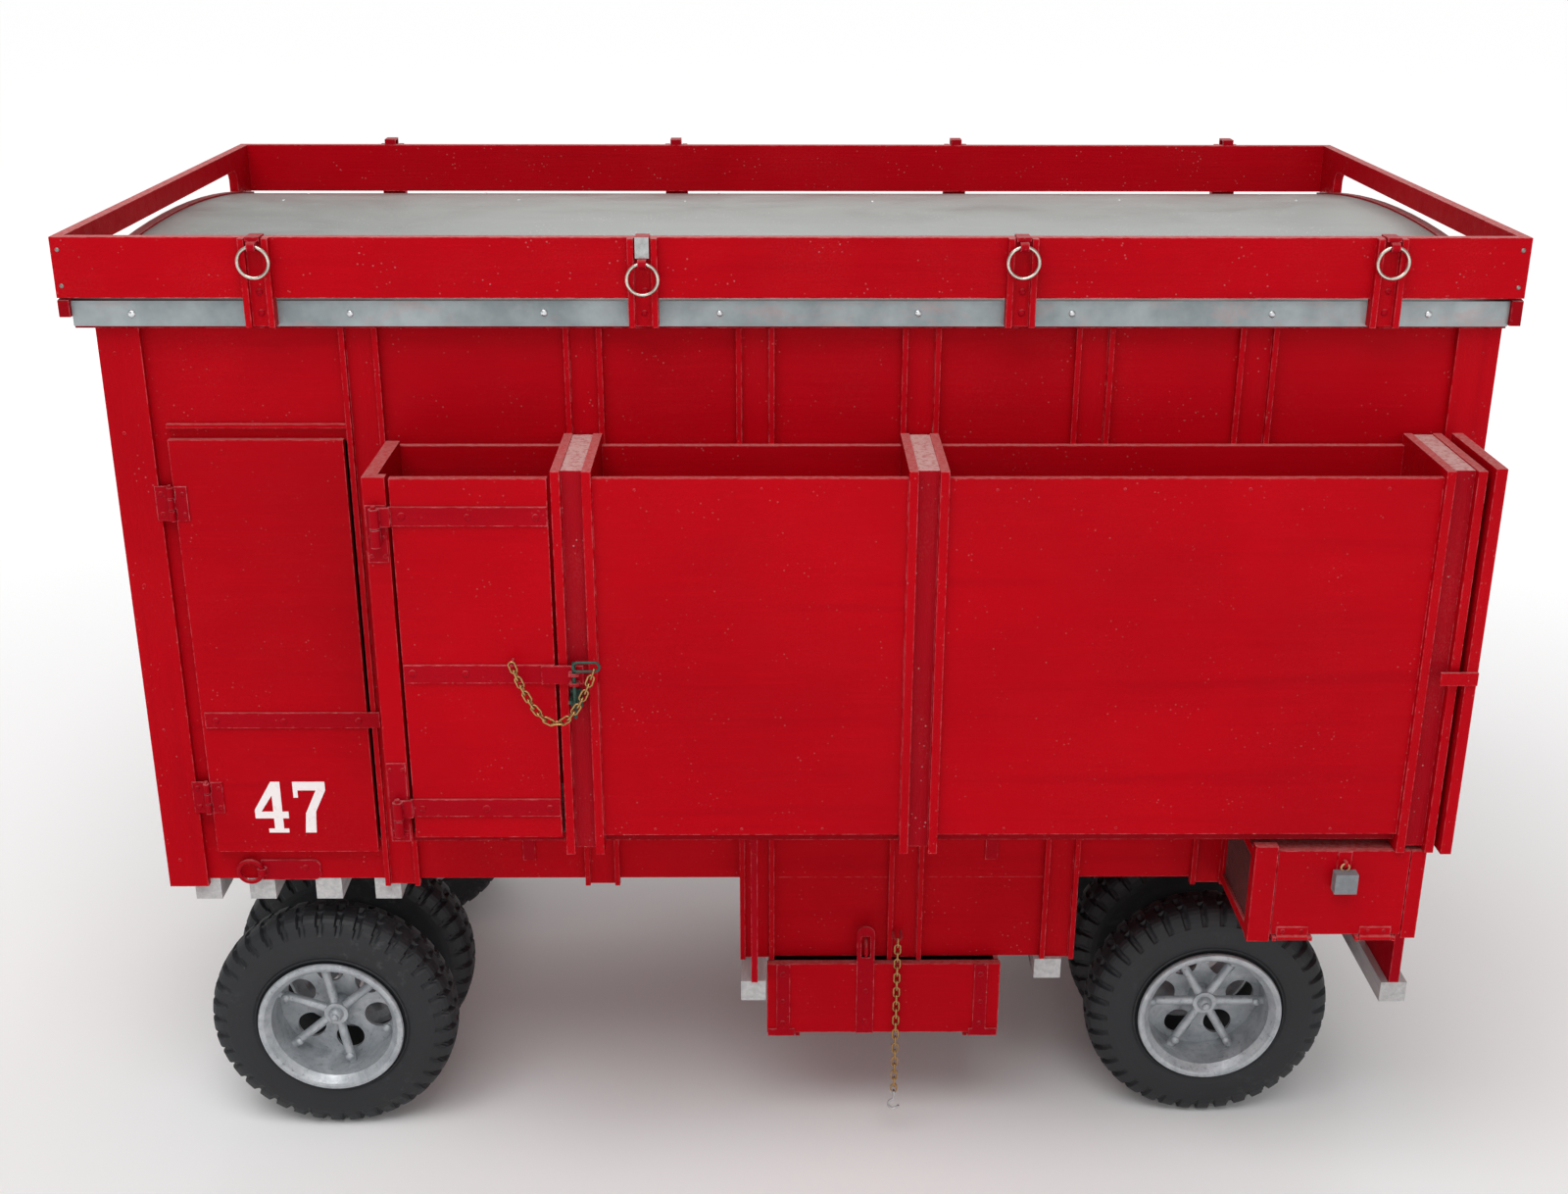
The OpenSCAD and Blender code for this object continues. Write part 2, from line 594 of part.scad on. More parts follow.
// ---------- wing gate ----------
gate_pin_z = [rack_post_z[0] + 18, rack_post_z[1] - 22];
module wing_gate() color(red) {
    difference() {
        union() {
            slab([gate_axis[0] - gate_t / 2, -rack_d - 2, rack_post_z[0] + 0.5],
                [gate_axis[0] + gate_t / 2, gate_axis[1] - 2, rack_post_z[1] + 1.5]);
            for (z = gate_pin_z) {
                rod_z(gate_axis[0], gate_axis[1], z, z + 8, 1.7);
                slab([gate_axis[0] - 0.6, gate_axis[1] - 2.2, z], [gate_axis[0] + 0.6, gate_axis[1] - 1, z + 8]);
            }
        }
        for (z = gate_pin_z) rod_z(gate_axis[0], gate_axis[1], z - 1, z + 9, 0.8 + fit);
    }
    slab([483.5, -rack_d - 3, 230.5], [gate_axis[0] + gate_t / 2, -rack_d - 2, 235.5]);
}

// ---------- irons on the wall ----------
// half-round staple whose legs run back into the wall
module staple(reach, wire, r, root = skin_y) {
    for (s = [-1, 1]) rod_y(0, reach, root, s * r, wire);
    translate([0, reach, 0]) rotate([0, 90, 0]) rotate([0, 0, 180]) torus(r, wire, 180);
}

bull_axis = [37.5, 0.9];
bull_z = 126.3;
bull_r = 4.7;
bull_wire = 0.9;

module wall_irons() color(red_dark) {
    // plate that holds the bull ring in its fold
    difference() {
        union() {
            slab([bull_axis[0] - 0.5, 2.15, bull_z - 4.5], [58, skin_y, bull_z + 4.5]);
            for (s = [-1, 1]) rod_y(58, 2.15, skin_y, bull_z + s * 1.5, 3);
            rod_z(bull_axis[0], bull_axis[1], bull_z - 1.5, bull_z + 1.5, 1.85);
        }
        rod_z(bull_axis[0], bull_axis[1], bull_z - 5, bull_z + 5, 1.25);
    }
    // staples for the hasp and the drop chain, their legs let in beside the studs
    difference() {
        union() {
            translate([hasp_x, 0, belly_z + 8]) staple(-4.5, 0.75, 2.7);
            translate([drop_pivot[0], 0, drop_pivot[2]]) rotate([0, 90, 0])
                staple(drop_pivot[1] + 1.6, 0.5, 1.6, skin_y - 1);
        }
        wall_studs();
    }
    // gate hinge pins, each on a lug from the corner post
    for (z = gate_pin_z) {
        rod_z(gate_axis[0], gate_axis[1], z - 2.6, z - gap, 1.7);
        slab([gate_axis[0] - 1.2, gate_axis[1], z - 2.6], [gate_axis[0] + 1.2, 0, z - gap]);
        rod_z(gate_axis[0], gate_axis[1], z - 1, z + 9, 0.8);
    }
}

module bull_ring() color(red) translate([bull_axis[0] - bull_r, bull_axis[1], bull_z]) rotate([90, 0, 0]) torus(bull_r, bull_wire);

// ---------- tool box ----------
module toolbox_case() color(red) {
    front = 3.2 - box_y;
    difference() {
        union() {
            slab([box_x[0], -box_y, box_z[0]], [box_x[1], 0, box_z[1]]);
            // the post at the mesh end stands proud and taller
            slab([box_x[0], -box_y - 0.6, box_z[0] - 1], [box_x[0] + box_post, front, box_z[1] + 2.4]);
        }
        slab([box_x[0] + 2.5, front, box_z[0] + 2.5], [box_x[1] - 2.5, -2.5, box_z[1] - 2.5]);
        slab([box_x[0] + box_post, -box_y - 1, box_z[0] - e], [box_x[1] - 5.5, front + e, box_z[1] + e]);
        slab([box_x[0] - e, 5 - box_y, box_z[0] + 4], [box_x[0] + 3, -4, box_z[1] - 4]);
    }
    // door hinge pins, held by lugs from the floor's front edge
    for (x = box_leaf_x) {
        for (lug = [x - 1.6, x + box_leaf_w + 0.4])
            slab([lug, box_axis[0] - 0.9, box_axis[1] - 0.9], [lug + 1.2, 3.5 - box_y, box_axis[1] + 0.6]);
        rod_x(x - 1, x + box_leaf_w + 1, box_axis[0], box_axis[1], 0.5);
    }
}

module toolbox_grille() color([0.25, 0.05, 0.05])
    slab([box_x[0] + 1, 5 - box_y, box_z[0] + 4], [box_x[0] + 1.8, -4, box_z[1] - 4]);

// door, its bottom hinge leaves, and a lug on a plate for the padlock
module toolbox_door() color(red) {
    y = box_axis[0];
    z = box_axis[1];
    slab([box_x[0] + box_post + 0.4, -box_y, z + 1], [box_x[1] - 5.9, 2.5 - box_y, box_z[1] + 0.3]);
    for (x = box_leaf_x) difference() {
        union() {
            slab([x, -box_y - 0.6, z], [x + box_leaf_w, -box_y + e, z + 4.4]);
            rod_x(x, x + box_leaf_w, y, z, 1);
        }
        rod_x(x - 1, x + box_leaf_w + 1, y, z, 0.5 + fit);
    }
    slab([lock_axis[0] - 2.6, -box_y - 0.7, 152.8], [lock_axis[0] + 2.6, -box_y + e, box_z[1] + 0.3]);
    difference() {
        lock_lug(lock_axis);
        rod_x(lock_axis[0] - 2, lock_axis[0] + 2, lock_axis[1], lock_axis[2], 0.7);
    }
}

// short lug that stands out of the door around the padlock's shackle
module lock_lug(at) {
    rod_x(at[0] - 0.5, at[0] + 0.5, at[1], at[2], 1.4);
    slab([at[0] - 0.5, at[1], at[2] - 1], [at[0] + 0.5, -box_y - 0.5, at[2] + 1]);
}

// cube-shaped padlock hanging by its shackle
module padlock() color([0.42, 0.43, 0.45]) {
    half = 4.25;
    shackle_r = 1.5;
    translate([lock_axis[0], lock_axis[1], lock_axis[2] - shackle_r]) {
        rotate([90, 0, 0]) torus(shackle_r, 0.4);
        slab([-half, -3.6, -9.4], [half, 0.7, -1.2]);
    }
}

// ---------- ramp case, hatch and hanging chain ----------
module ramp_case() color(red_dark) {
    case_y = 180;
    difference() {
        slab([hatch_x[0] + 0.5, gap, hatch_z[0] - 1], [hatch_x[1] - 0.5, case_y, belly_z]);
        slab([hatch_x[0] + 2.5, gap - e, hatch_z[0] + 1], [hatch_x[1] - 2.5, case_y - 2, belly_z + e]);
    }
    // hinge lugs under the floor's front edge, each with its pin
    for (r = hatch_roll_x) {
        lug = r[0] < hasp_x ? r[1] + 0.4 : r[0] - 2.2;
        slab([lug, hatch_axis[0] - 0.8, hatch_axis[1] - 0.9], [lug + 1.8, gap + 3, hatch_axis[1] + 0.8]);
        rod_x(min(lug + 0.8, r[0] + 0.5), max(lug + 1, r[1] - 0.5), hatch_axis[0], hatch_axis[1], 0.6);
    }
}

module hatch_panel() color(red) slab([hatch_x[0], -3, hatch_z[0]], [hatch_x[1], 0, hatch_z[1]]);

module hatch_straps() color(red) {
    w = 5.5;
    face = -3;
    for (x = hatch_strap_x) slab([x - w / 2, face - 0.6, hatch_z[0] + 0.5], [x + w / 2, face, hatch_z[1]]);
    for (r = hatch_roll_x) difference() {
        union() {
            rod_x(r[0], r[1], hatch_axis[0], hatch_axis[1], 1.2);
            slab([r[0], face - 0.6, hatch_axis[1]], [r[1], -0.4, hatch_z[0] - e]);
            slab([r[0], face - 0.6, hatch_axis[1]], [r[1], face, hatch_z[0] + 2]);
        }
        rod_x(r[0] - 1, r[1] + 1, hatch_axis[0], hatch_axis[1], 0.6 + fit);
    }
    difference() {
        union() {
            slab([hasp_x - 3.6, face - 0.6, hatch_z[0]], [hasp_x + 3.6, face, belly_z + 14]);
            rod_y(hasp_x, face - 0.6, face, belly_z + 14, 3.6);
        }
        slab([hasp_x - 1.85, -5, belly_z + 3], [hasp_x + 1.85, 0, belly_z + 13]);
    }
}

// a straight run of links below a concentric first end
module hanging_links(count, turn0) for (i = [0:count - 1])
    translate([0, 0, -link_len / 2 - i * link_pitch]) rotate([0, 0, 90 * ((i + turn0) % 2)]) link();

drop_joint_z = drop_pivot[2] - link_len - (upper_links - 1) * link_pitch - link_end;
module drop_chain_upper() color([0.60, 0.45, 0.20]) translate(drop_pivot) hanging_links(upper_links, 1);

module drop_chain_lower() translate([drop_pivot[0], drop_pivot[1], drop_joint_z]) {
    color([0.60, 0.45, 0.20]) hanging_links(lower_links, upper_links % 2 + 1);
    // open hook below the last link
    hook_z = -link_len - (lower_links - 1) * link_pitch - 1.3;
    color(steel) translate([0, 0, hook_z]) {
        rotate([0, 90, 0]) torus(1.2, 0.45);
        rod_z(0, 0, -3.2, -1.2, 0.5);
        translate([0, 0, -5.4]) rotate([90, 0, 0]) rotate([0, 0, 90]) torus(2.2, 0.5, 250);
    }
}

place() floor_deck();
place() belly_box();
place() near_wall();
place() far_wall();
place() end_walls();
place() corner_posts();
place() wall_studs();
place() roof_frame();
place() roof_sheet();
place() tray_sides();
place() tray_ends();
place() tray_brackets();
place() ring_tabs();
place() cross_beams();
place() beam_hangers();
place() rack_supports();
place() rack_back();
place() rack_floor();
place() rack_end();
place() rack_panels();
place() rack_post_plates();
place() rack_post_cores();
place() door_hinge_irons();
place() latch_keeper();
place() wall_irons();
place() toolbox_case();
place() toolbox_grille();
place() ramp_case();
place() rear_bolster();
place() rear_axle();
place() turntable_plate();
place() front_bolster();
place() front_axle();
place() side_door_panel();
place() side_door_irons();
place() rack_door_panel();
place() rack_door_straps();
place() latch_chain();
place() latch_pin();
place() wing_gate();
place() toolbox_door();
place() padlock();
place() hatch_panel();
place() hatch_straps();
place() drop_chain_upper();
place() drop_chain_lower();
place() bull_ring();
place() tie_ring(0);  // tie_ring_1
place() tie_ring(1);  // tie_ring_2
place() tie_ring(2);  // tie_ring_3
place() tie_ring(3);  // tie_ring_4
place() far_tie_rings();
place() near_tyres(0);  // front_near_tyres
place() near_rims(0);  // front_near_rims
place() far_tyres(0);  // front_far_tyres
place() far_rims(0);  // front_far_rims
place() near_tyres(1);  // rear_near_tyres
place() near_rims(1);  // rear_near_rims
place() far_tyres(1);  // rear_far_tyres
place() far_rims(1);  // rear_far_rims
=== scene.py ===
"""Looks for the livestock trailer: paint, tin, tyres, nails and other small pieces on the CAD frame.

Lengths in the tables below are millimetres from the trailer's own corner: x from the front wall,
y from the posts' face on the rack side, z from the ground. mm() turns them into the frame's metres.
The camera, the lights and the materials' patterns are in metres.
"""

import math
import random

import bmesh
import bpy
from mathutils import Matrix, Vector


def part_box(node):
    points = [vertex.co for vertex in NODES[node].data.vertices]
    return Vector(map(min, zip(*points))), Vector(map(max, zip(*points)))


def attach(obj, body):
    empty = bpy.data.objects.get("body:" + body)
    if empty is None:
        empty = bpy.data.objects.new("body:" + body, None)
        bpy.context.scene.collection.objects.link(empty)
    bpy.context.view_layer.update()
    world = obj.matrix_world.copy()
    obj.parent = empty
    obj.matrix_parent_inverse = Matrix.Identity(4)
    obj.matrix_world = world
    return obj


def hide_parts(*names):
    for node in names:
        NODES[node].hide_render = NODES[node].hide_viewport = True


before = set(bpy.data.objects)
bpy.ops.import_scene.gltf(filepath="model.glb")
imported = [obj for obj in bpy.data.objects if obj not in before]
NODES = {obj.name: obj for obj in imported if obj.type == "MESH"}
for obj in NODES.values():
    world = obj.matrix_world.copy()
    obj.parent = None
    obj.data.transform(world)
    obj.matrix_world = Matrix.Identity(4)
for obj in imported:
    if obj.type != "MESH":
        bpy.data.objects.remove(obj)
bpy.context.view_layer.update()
rng = random.Random(12)


def millimetres(metres):
    return round(metres * 1000, 3)


# the corner posts' box tells where the trailer's own corner is, and the body's size
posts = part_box("corner_posts")
CORNER = Vector((posts[0][0], posts[0][1], 0.0))
BODY_L = millimetres(posts[1][0] - posts[0][0])
BODY_W = millimetres(posts[1][1] - posts[0][1])
BODY_TOP = millimetres(posts[1][2])


def mm(x, y, z):
    """A point in the frame's metres from the trailer's own millimetres."""
    return CORNER + Vector((x, y, z)) * 0.001


def across(y, mirror):
    """A depth on the near side (mirror 1), or its twin on the far side (mirror -1)."""
    return y if mirror > 0 else BODY_W - y


# ---------------------------------------------------------------- material helpers
def shade(colour, factor):
    return tuple(c * factor for c in colour)


class Shader:
    """A small wrapper that adds nodes to a material and links them."""

    def __init__(self, name, roughness=0.5, metallic=0.0):
        self.mat = bpy.data.materials.new(name)
        self.mat.use_nodes = True
        self.tree = self.mat.node_tree
        self.bsdf = self.tree.nodes["Principled BSDF"]
        self.bsdf.inputs["Roughness"].default_value = roughness
        self.bsdf.inputs["Metallic"].default_value = metallic
        self.place = self.node("ShaderNodeTexCoord").outputs["Object"]

    def node(self, kind, **settings):
        n = self.tree.nodes.new(kind)
        for key, value in settings.items():
            setattr(n, key, value)
        return n

    def put(self, socket, value):
        if isinstance(value, bpy.types.NodeSocket):
            self.tree.links.new(value, socket)
        elif isinstance(value, tuple) and len(value) == 3 and socket.type == "RGBA":
            socket.default_value = (*value, 1)
        else:
            socket.default_value = value

    def math(self, op, a, b=0.0, clamp=False):
        n = self.node("ShaderNodeMath", operation=op, use_clamp=clamp)
        self.put(n.inputs[0], a)
        self.put(n.inputs[1], b)
        return n.outputs[0]

    def stretched(self, scale, shift=(0, 0, 0)):
        n = self.node("ShaderNodeMapping")
        self.put(n.inputs["Vector"], self.place)
        n.inputs["Scale"].default_value = scale
        n.inputs["Location"].default_value = shift
        return n.outputs[0]

    def noise(self, scale, detail=3.0, rough=0.55, warp=0.0, stretch=(1, 1, 1), shift=(0, 0, 0)):
        n = self.node("ShaderNodeTexNoise")
        self.put(n.inputs["Vector"], self.stretched(stretch, shift))
        n.inputs["Scale"].default_value = scale
        n.inputs["Detail"].default_value = detail
        n.inputs["Roughness"].default_value = rough
        n.inputs["Distortion"].default_value = warp
        return n.outputs["Fac"]

    def cells(self, scale):
        """Distance from the middle of scattered cells."""
        n = self.node("ShaderNodeTexVoronoi", feature="F1")
        self.put(n.inputs["Vector"], self.place)
        n.inputs["Scale"].default_value = scale
        return n.outputs["Distance"]

    def ramp(self, value, lo, hi, out_lo=0.0, out_hi=1.0):
        """A value's range lo to hi turned into out_lo to out_hi, and no further."""
        n = self.node("ShaderNodeMapRange", clamp=True)
        ends = {"Value": value, "From Min": lo, "From Max": hi, "To Min": out_lo, "To Max": out_hi}
        for key, v in ends.items():
            self.put(n.inputs[key], v)
        return n.outputs[0]

    def mix(self, amount, a, b):
        n = self.node("ShaderNodeMix", data_type="RGBA")
        self.put(n.inputs["Factor"], amount)
        self.put(n.inputs[6], a)
        self.put(n.inputs[7], b)
        return n.outputs[2]

    def part_of(self, vector, name):
        n = self.node("ShaderNodeSeparateXYZ")
        self.put(n.inputs[0], vector)
        return n.outputs[name]

    def axis(self, name):
        return self.part_of(self.place, name)

    def facing(self, name):
        """How far the shading normal points along an axis."""
        return self.part_of(self.node("ShaderNodeNewGeometry").outputs["Normal"], name)

    def edges(self, radius):
        """1 on outer and inner edges, from a bevelled normal against the flat one."""
        bevel = self.node("ShaderNodeBevel", samples=4)
        bevel.inputs["Radius"].default_value = radius
        dot = self.node("ShaderNodeVectorMath", operation="DOT_PRODUCT")
        self.put(dot.inputs[0], bevel.outputs[0])
        self.put(dot.inputs[1], self.node("ShaderNodeNewGeometry").outputs["Normal"])
        return self.ramp(dot.outputs["Value"], 0.99, 0.80)

    def bump(self, height, strength, distance, under=None):
        n = self.node("ShaderNodeBump")
        n.inputs["Strength"].default_value = strength
        n.inputs["Distance"].default_value = distance
        self.put(n.inputs["Height"], height)
        if under is not None:
            self.put(n.inputs["Normal"], under)
        return n.outputs[0]

    def finish(self, colour, roughness, normal):
        self.put(self.bsdf.inputs["Base Color"], colour)
        self.put(self.bsdf.inputs["Roughness"], roughness)
        self.put(self.bsdf.inputs["Normal"], normal)
        return self.mat


# ---------------------------------------------------------------- camera, light and floor
CAM_AT = (242.8, -653.6, 497.3)
CAM_YAW = math.radians(0.4704)
CAM_PITCH = math.radians(21.0807)
CAM_ROLL = math.radians(0.1263)
CAM_LENS = 42.17
CAM_SENSOR = 36.0

WHITE = (1, 1, 1, 1)
WORLD_STRENGTH = 0.42
FLOOR_GREY = (0.93, 0.93, 0.93)
FLOOR_HALF = 12.0
FADE_FROM = 0.35
FADE_TO = 1.5
FADE_GLOW = 0.6


def add_camera():
    cam = bpy.data.cameras.new("camera")
    cam.lens, cam.sensor_width, cam.sensor_fit = CAM_LENS, CAM_SENSOR, "HORIZONTAL"
    cam.clip_start, cam.clip_end = 0.01, 50
    obj = bpy.data.objects.new("camera", cam)
    bpy.context.collection.objects.link(obj)
    ahead = Vector((math.sin(CAM_YAW) * math.cos(CAM_PITCH), math.cos(CAM_YAW) * math.cos(CAM_PITCH),
                    -math.sin(CAM_PITCH)))
    right = Vector((math.cos(CAM_YAW), -math.sin(CAM_YAW), 0))
    up = right.cross(ahead)
    right, up = (math.cos(CAM_ROLL) * right + math.sin(CAM_ROLL) * up,
                 math.cos(CAM_ROLL) * up - math.sin(CAM_ROLL) * right)
    turn = Matrix((right, up, -ahead)).transposed().to_4x4()
    obj.matrix_world = Matrix.Translation(mm(*CAM_AT)) @ turn
    bpy.context.scene.camera = obj


def area_light(name, at, target, size, power):
    light = bpy.data.lights.new(name, "AREA")
    light.shape, light.size, light.size_y = "RECTANGLE", size[0], size[1]
    light.energy = power
    obj = bpy.data.objects.new(name, light)
    bpy.context.collection.objects.link(obj)
    obj.location = at
    obj.rotation_euler = (Vector(target) - Vector(at)).to_track_quat("-Z", "Y").to_euler()


def add_lights():
    bpy.context.scene.view_settings.view_transform = "Standard"
    world = bpy.data.worlds.new("studio")
    world.use_nodes = True
    back = world.node_tree.nodes["Background"]
    back.inputs["Color"].default_value = WHITE
    back.inputs["Strength"].default_value = WORLD_STRENGTH
    bpy.context.scene.world = world
    area_light("key", (-0.25, -0.75, 1.55), (0, 0, 0.2), size=(1.3, 0.9), power=15)
    area_light("front_fill", (0.35, -1.9, 0.75), (0, 0, 0.18), size=(1.8, 1.0), power=6)
    area_light("back", (0.2, 1.2, 1.2), (0, 0, 0.3), size=(1.4, 0.8), power=6)


def floor_paper():
    """White paper that glows more and more away from the trailer, so that it fades to white."""
    s = Shader("floor", roughness=0.9)
    s.put(s.bsdf.inputs["Base Color"], FLOOR_GREY)
    reach = s.node("ShaderNodeVectorMath", operation="LENGTH")
    s.put(reach.inputs[0], s.place)
    s.bsdf.inputs["Emission Color"].default_value = WHITE
    glow = s.ramp(reach.outputs["Value"], FADE_FROM, FADE_TO, 0.0, FADE_GLOW)
    s.put(s.bsdf.inputs["Emission Strength"], glow)
    return s.mat


def add_floor():
    mesh = bpy.data.meshes.new("floor")
    h = FLOOR_HALF
    mesh.from_pydata([(-h, -h, 0), (h, -h, 0), (h, h, 0), (-h, h, 0)], [], [(0, 1, 2, 3)])
    floor = bpy.data.objects.new("floor", mesh)
    bpy.context.collection.objects.link(floor)
    mesh.materials.append(floor_paper())


# ---------------------------------------------------------------- materials
RED = (0.44, 0.0006, 0.006)
# RED_DEEP is also the base of the darker red under the body, which paints the shade there
RED_DEEP = (0.27, 0.0005, 0.005)
RED_IRON = (0.36, 0.001, 0.008)
RED_CORE = (0.36, 0.003, 0.010)
RED_PALE = (0.66, 0.14, 0.16)
DUST = (0.58, 0.36, 0.34)
RAW_WOOD = (0.50, 0.30, 0.22)
PAINT_SHINE = 0.04
ALONG_X = (0.05, 1, 1)
ALONG_Y = (1, 0.08, 1)
ALONG_Z = (1, 1, 0.05)


def red_paint(name, grain=ALONG_X, base=RED, dusty=0.5, wear=0.5, gloss=0.42, coarse=0.0):
    """Brushed enamel on board: strokes along the grain, specks of dust, paint worn pale on the edges."""
    s = Shader(name)
    strokes = s.noise(900, 4, 0.6, stretch=grain)
    wide_strokes = s.noise(160, 3, 0.5, 0.3, stretch=grain, shift=(0.3, 0.1, 0.7))
    blotch = s.noise(9, 3, 0.6, 0.4)
    fine = s.noise(1500, 2, 0.6)
    tone = s.mix(s.ramp(blotch, 0.35, 0.7), base, shade(base, 0.84))
    tone = s.mix(s.ramp(strokes, 0.52, 0.72, 0, 0.22), tone, shade(base, 1.18))
    tone = s.mix(s.ramp(wide_strokes, 0.55, 0.8, 0, 0.30), tone, RED_DEEP)
    # dust lies in specks, thicker in cloudy patches and on what faces up
    up = s.ramp(s.facing("Z"), 0.5, 0.95)
    cloud = s.ramp(s.noise(26, 4, 0.7, shift=(0.5, 0.2, 0.1)), 0.45, 0.75)
    speck = s.math("MULTIPLY", s.ramp(s.cells(420), 0.17, 0.08), s.ramp(s.noise(90, 2, 0.5), 0.5, 0.66))
    haze = s.math("MULTIPLY", cloud, s.ramp(fine, 0.45, 0.75, 0, 0.35))
    settled = s.math("MULTIPLY", up, s.ramp(s.noise(600, 3, 0.7), 0.34, 0.66, 0.30, 0.85))
    loose = s.math("ADD", s.math("MULTIPLY", haze, 0.12), s.math("MULTIPLY", speck, 0.40))
    dust = s.math("MULTIPLY", loose, dusty)
    dust = s.math("ADD", dust, s.math("MULTIPLY", settled, dusty), clamp=True)
    tone = s.mix(dust, tone, DUST)
    # worn edges
    edge = s.edges(0.0007)
    patchy = s.ramp(s.noise(240, 4, 0.7, 0.5), 0.42, 0.62)
    worn = s.math("MULTIPLY", edge, s.math("MULTIPLY", patchy, wear))
    tone = s.mix(worn, tone, RED_PALE)
    bare = s.ramp(s.noise(330, 3, 0.6, shift=(0.2, 0.9, 0.4)), 0.66, 0.70, 0, wear)
    tone = s.mix(s.math("MULTIPLY", edge, bare), tone, RAW_WOOD)
    rough = s.ramp(wide_strokes, 0.3, 0.8, gloss - 0.06, gloss + 0.14)
    rough = s.math("ADD", rough, s.math("MULTIPLY", dust, 0.4), clamp=True)
    height = s.math("ADD", s.math("MULTIPLY", strokes, 0.5 + coarse), s.math("MULTIPLY", fine, 0.25))
    normal = s.bump(height, 0.30 + 0.5 * coarse, 0.0004)
    normal = s.bump(wide_strokes, 0.18, 0.0006, under=normal)
    s.bsdf.inputs["Specular IOR Level"].default_value = PAINT_SHINE
    return s.finish(tone, rough, normal)


def tin_roof():
    s = Shader("roof_tin", metallic=0.35)
    blotch = s.noise(16, 5, 0.65, 0.6)
    streak = s.noise(60, 4, 0.6, 0.2, stretch=(0.25, 1, 1))
    speck = s.ramp(s.cells(520), 0.2, 0.09)
    dusty = s.ramp(s.noise(34, 4, 0.75, shift=(0.4, 0.1, 0)), 0.48, 0.62)
    tone = s.mix(s.ramp(blotch, 0.3, 0.7), (0.24, 0.25, 0.235), (0.33, 0.34, 0.325))
    tone = s.mix(s.ramp(streak, 0.5, 0.8, 0, 0.35), tone, (0.38, 0.385, 0.37))
    tone = s.mix(s.math("MULTIPLY", speck, s.math("MULTIPLY", dusty, 0.7)), tone, (0.78, 0.76, 0.72))
    # the folded edges hang at the sides: bluer, smudged with red paint
    side = s.ramp(s.math("ABSOLUTE", s.facing("Y")), 0.6, 0.9)
    smear = s.ramp(s.noise(120, 4, 0.7, 0.4, stretch=(0.5, 1, 1)), 0.52, 0.66)
    band = s.mix(s.ramp(s.noise(45, 4, 0.6), 0.35, 0.65), (0.20, 0.235, 0.245), (0.33, 0.37, 0.38))
    band = s.mix(s.math("MULTIPLY", smear, 0.28), band, (0.42, 0.22, 0.21))
    tone = s.mix(side, tone, band)
    # painted shade: the sheet is painted near-black where it lies in shadow under the tray's side boards
    low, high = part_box("roof_sheet")
    middle = (low[1] + high[1]) / 2
    half = high[1] - middle
    from_middle = s.math("ABSOLUTE", s.math("SUBTRACT", s.axis("Y"), middle))
    under_boards = s.ramp(from_middle, half - 0.0035, half - 0.0015)
    # upward faces near the edges take the near-black painted shadow
    painted_shade = s.math("MULTIPLY", under_boards, s.ramp(s.facing("Z"), 0.3, 0.6))
    tone = s.mix(painted_shade, tone, (0.012, 0.012, 0.012))
    rough = s.ramp(blotch, 0.3, 0.7, 0.34, 0.52)
    dents = s.math("ADD", blotch, s.math("MULTIPLY", s.noise(700, 3, 0.6), 0.12))
    return s.finish(tone, rough, s.bump(dents, 0.35, 0.0012))


def plain_metal(name, colour, dark, roughness, metallic, scale=300, spots=0.5, other=None):
    """Mottled metal.

    other is (height in millimetres, True for above it or False for below it, colour), for a node whose
    upper or lower end is another metal.
    """
    s = Shader(name, metallic=metallic)
    n = s.noise(scale, 4, 0.65, 0.3)
    if other:
        height, above, tint = other
        edge = (height - 0.1, height + 0.1) if above else (height + 0.1, height - 0.1)
        end = s.ramp(s.axis("Z"), edge[0] / 1000, edge[1] / 1000)
        colour = s.mix(end, colour, tint)
        dark = s.mix(end, dark, shade(tint, 0.5))
    tone = s.mix(s.ramp(n, 0.35, 0.68, 0, spots), colour, dark)
    tone = s.mix(s.ramp(s.noise(scale * 4, 3, 0.6), 0.56, 0.75, 0, spots * 0.6), tone, dark)
    rough = s.ramp(n, 0.3, 0.7, roughness - 0.07, roughness + 0.12)
    return s.finish(tone, rough, s.bump(s.noise(scale * 5, 3, 0.6), 0.2, 0.0003))


def grey_beams():
    s = Shader("grey_beams")
    grain = s.noise(500, 5, 0.65, 0.5, stretch=ALONG_Y)
    tone = s.mix(s.ramp(grain, 0.35, 0.7), (0.53, 0.52, 0.52), (0.36, 0.355, 0.36))
    tone = s.mix(s.ramp(s.noise(80, 4, 0.7), 0.55, 0.75, 0, 0.6), tone, (0.30, 0.27, 0.26))
    return s.finish(tone, 0.7, s.bump(grain, 0.4, 0.0006))


def tyre_rubber():
    s = Shader("tyre_rubber")
    soft = s.noise(40, 4, 0.6)
    tone = s.mix(s.ramp(soft, 0.35, 0.7), (0.006, 0.007, 0.009), (0.013, 0.015, 0.018))
    patches = s.ramp(s.noise(25, 2, 0.5), 0.45, 0.7, 0, 0.35)
    dust = s.math("MULTIPLY", s.ramp(s.noise(260, 4, 0.7), 0.54, 0.70), patches)
    tone = s.mix(dust, tone, (0.12, 0.12, 0.125))
    rough = s.ramp(soft, 0.3, 0.7, 0.52, 0.68)
    return s.finish(tone, rough, s.bump(s.noise(1300, 3, 0.6), 0.22, 0.0003))


